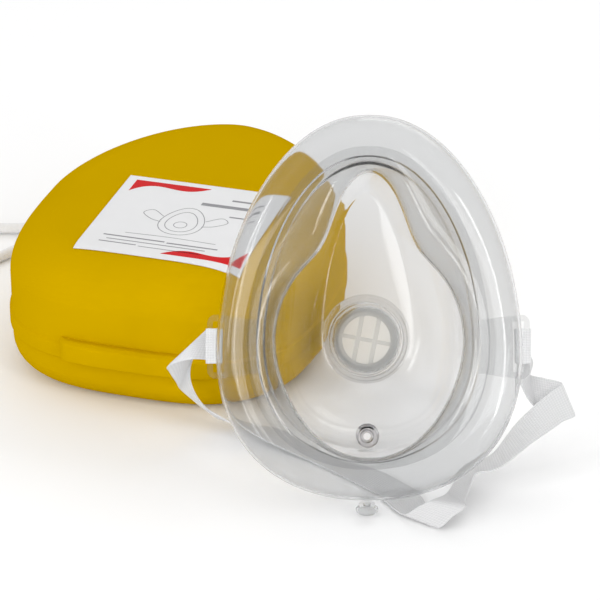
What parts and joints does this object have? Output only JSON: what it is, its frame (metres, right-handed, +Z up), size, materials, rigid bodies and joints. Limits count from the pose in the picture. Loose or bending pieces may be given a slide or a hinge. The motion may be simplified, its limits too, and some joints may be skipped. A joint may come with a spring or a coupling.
{
  "type": "pocket resuscitation mask kit",
  "caption": "Clear resuscitation face mask with air cushion, one-way valve and elastic head strap, beside its hinged yellow hard case with a wrist cord.",
  "frame": {"origin": "floor under the middle of the kit's box, measured without the cord", "axes": "+X across the case to the mask's side, +Y from the case's opening edge to its hinge, +Z up"},
  "size_m": [0.2868, 0.202, 0.1189],
  "materials": {
    "shell": "yellow moulded polypropylene, fine satin grain",
    "steel": "plain wire pin",
    "paper": "white printed film label",
    "foam": "white foam or filter felt",
    "cord": "white braided cord",
    "soft": "clear soft vinyl, glossy",
    "clear": "clear rigid polycarbonate, glossy",
    "silicone": "translucent silicone rubber",
    "elastic": "white woven elastic"
  },
  "bodies": {
    "case_base": {"case_base": "shell", "case_pad": "foam", "hinge_pin": "steel", "cord_eyelet": "shell", "lanyard_cord": "cord"},
    "case_lid": {"case_lid": "shell", "case_label": "paper"},
    "mask": {"cushion": "soft", "dome": "clear", "oxygen_inlet": "clear", "strap_lug_left": "clear", "strap_lug_right": "clear", "head_strap": "elastic", "inflation_nozzle": "soft"},
    "valve": {"valve_body": "clear", "valve_mouthpiece": "clear", "valve_cage": "clear", "valve_filter": "foam"},
    "flap": {"valve_flap": "silicone"},
    "plug": {"inflation_plug": "silicone"}
  },
  "joints": [
    {"name": "lid_hinge", "type": "hinge", "parent": "case_base", "child": "case_lid", "pos_m": [-0.05104, 0.09788, 0.016], "axis": [-1, 0, 0], "range_deg": [0, 110]},
    {"name": "mask_lift", "type": "slide", "parent": "case_base", "child": "mask", "axis": [0, 0, 1], "range_m": [0, 0.15]},
    {"name": "valve_turn", "type": "hinge", "parent": "mask", "child": "valve", "pos_m": [0.03057, -0.02768, 0.02851], "axis": [0.2552, -0.8453, 0.4695], "continuous": true},
    {"name": "flap_lift", "type": "slide", "parent": "valve", "child": "flap", "axis": [0.2552, -0.8453, 0.4695], "range_m": [0, 0.0015]},
    {"name": "plug_pull", "type": "slide", "parent": "mask", "child": "plug", "axis": [0.289, -0.9573, 0], "range_m": [0, 0.006]}
  ]
}
